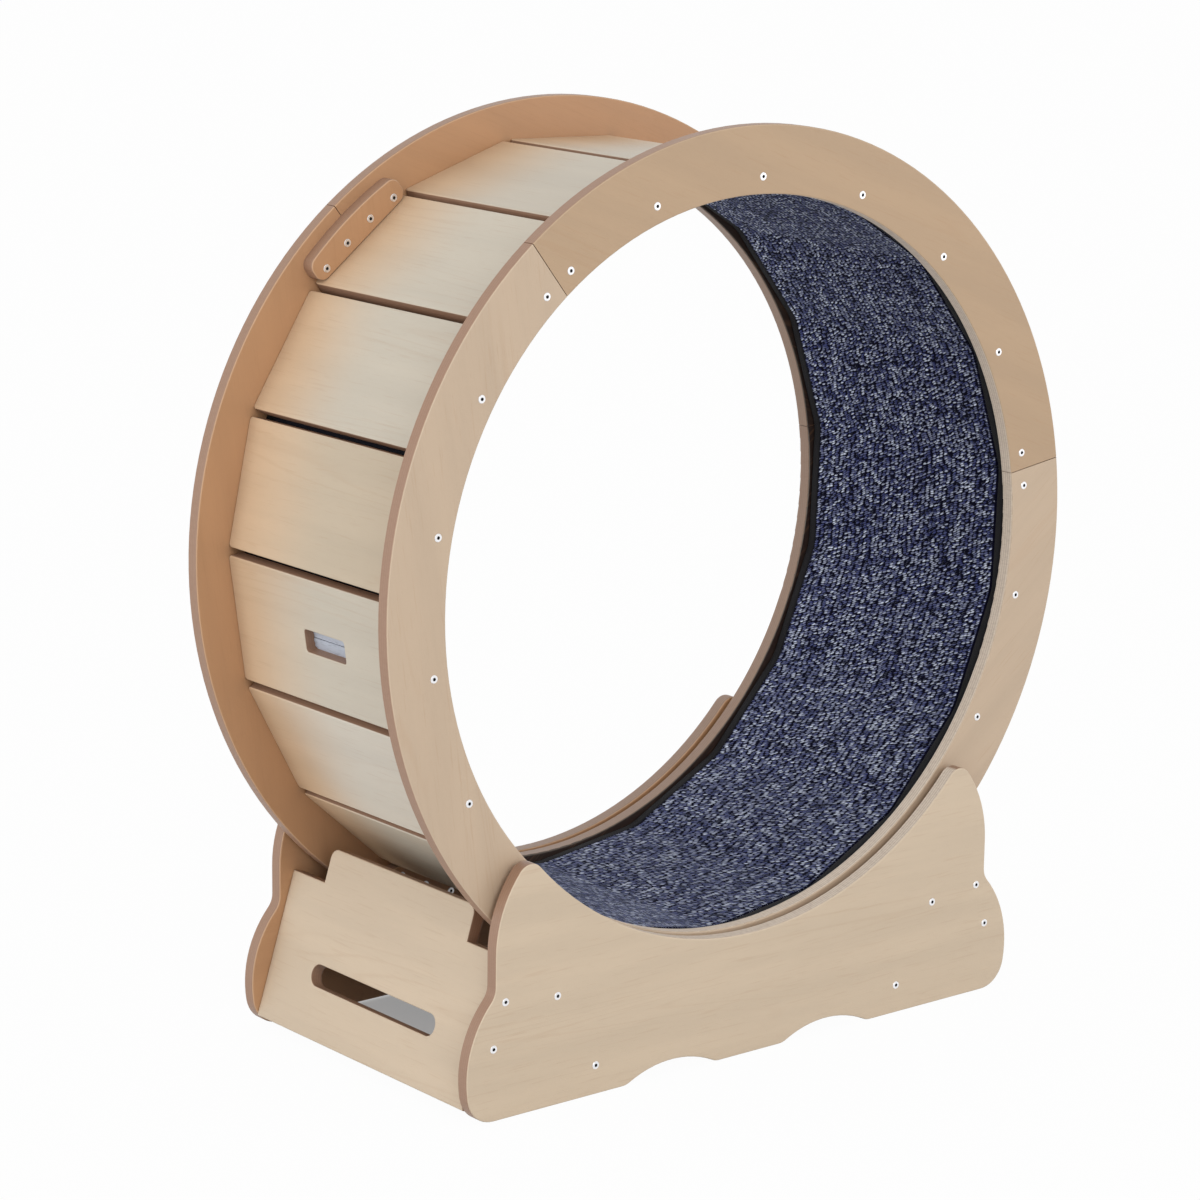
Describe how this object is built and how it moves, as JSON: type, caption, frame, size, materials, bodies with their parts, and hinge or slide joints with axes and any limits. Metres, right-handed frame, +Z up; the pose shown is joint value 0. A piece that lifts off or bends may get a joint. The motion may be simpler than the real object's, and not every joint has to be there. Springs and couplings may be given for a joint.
{
  "type": "cat exercise wheel",
  "caption": "Free-standing cat exercise wheel: a carpeted slatted drum between two board rings, turning on grooved rollers in a low base with leaning ends.",
  "frame": {"origin": "on the floor, midway between the side panels and under the drum's axis", "axes": "+Z up; +Y along the drum's axis, away from the viewer of the picture; +X to the viewer's right"},
  "size_m": [1.06, 0.4582, 1.1334],
  "materials": {
    "ring_board": "satin clear lacquer",
    "slat_board": "satin clear lacquer",
    "base_board": "satin clear lacquer",
    "carpet_pile": "flecked loop pile",
    "carpet_binding": "woven tape",
    "screw_steel": "bright zinc plate",
    "shaft_steel": "drawn",
    "sleeve_metal": "satin",
    "bearing_steel": "ground",
    "hub_plastic": "moulded",
    "tyre_rubber": "smooth"
  },
  "bodies": {
    "base": {"near_side_panel": "base_board", "far_side_panel": "base_board", "left_end_panel": "base_board", "right_end_panel": "base_board", "left_stretcher": "base_board", "right_stretcher": "base_board", "left_roller_shaft": "shaft_steel", "right_roller_shaft": "shaft_steel", "base_screws": "screw_steel", "shaft_bolts": "screw_steel", "roller_sleeves": "sleeve_metal", "roller_distance_tubes": "sleeve_metal", "bearing_inner_rings": "bearing_steel"},
    "wheel": {"near_ring_segment_1": "ring_board", "near_ring_segment_2": "ring_board", "near_ring_segment_3": "ring_board", "far_ring_segment_1": "ring_board", "far_ring_segment_2": "ring_board", "far_ring_segment_3": "ring_board", "near_splice_plate_1": "ring_board", "near_splice_plate_2": "ring_board", "near_splice_plate_3": "ring_board", "far_splice_plate_1": "ring_board", "far_splice_plate_2": "ring_board", "far_splice_plate_3": "ring_board", "slat_01": "slat_board", "slat_02": "slat_board", "slat_03": "slat_board", "slat_04": "slat_board", "slat_05": "slat_board", "slat_06": "slat_board", "slat_07": "slat_board", "slat_08": "slat_board", "slat_09": "slat_board", "slotted_slat": "slat_board", "slat_11": "slat_board", "slat_12": "slat_board", "slat_13": "slat_board", "slat_14": "slat_board", "slat_15": "slat_board", "slat_16": "slat_board", "slat_17": "slat_board", "slat_18": "slat_board", "carpet_runner": "carpet_pile", "carpet_binding_near": "carpet_binding", "carpet_binding_far": "carpet_binding", "ring_screws": "screw_steel", "splice_screws": "screw_steel"},
    "near_left_roller": {"near_left_roller_hub": "hub_plastic", "near_left_roller_tyre": "tyre_rubber", "near_left_roller_bearings": "bearing_steel"},
    "near_right_roller": {"near_right_roller_hub": "hub_plastic", "near_right_roller_tyre": "tyre_rubber", "near_right_roller_bearings": "bearing_steel"},
    "far_left_roller": {"far_left_roller_hub": "hub_plastic", "far_left_roller_tyre": "tyre_rubber", "far_left_roller_bearings": "bearing_steel"},
    "far_right_roller": {"far_right_roller_hub": "hub_plastic", "far_right_roller_tyre": "tyre_rubber", "far_right_roller_bearings": "bearing_steel"}
  },
  "joints": [
    {"name": "wheel_spin", "type": "hinge", "parent": "base", "child": "wheel", "pos_m": [0, 0, 0.6035], "axis": [0, 1, 0], "continuous": true},
    {"name": "near_left_roller_spin", "type": "hinge", "parent": "base", "child": "near_left_roller", "pos_m": [-0.30266, -0.192, 0.13495], "axis": [0, 1, 0], "continuous": true},
    {"name": "near_right_roller_spin", "type": "hinge", "parent": "base", "child": "near_right_roller", "pos_m": [0.30266, -0.192, 0.13495], "axis": [0, 1, 0], "continuous": true},
    {"name": "far_left_roller_spin", "type": "hinge", "parent": "base", "child": "far_left_roller", "pos_m": [-0.30266, 0.192, 0.13495], "axis": [0, 1, 0], "continuous": true},
    {"name": "far_right_roller_spin", "type": "hinge", "parent": "base", "child": "far_right_roller", "pos_m": [0.30266, 0.192, 0.13495], "axis": [0, 1, 0], "continuous": true}
  ],
  "couplings": [
    {"joint": "near_left_roller_spin", "follows": "wheel_spin", "ratio": -19.273},
    {"joint": "near_right_roller_spin", "follows": "wheel_spin", "ratio": -19.273},
    {"joint": "far_left_roller_spin", "follows": "wheel_spin", "ratio": -19.273},
    {"joint": "far_right_roller_spin", "follows": "wheel_spin", "ratio": -19.273}
  ]
}
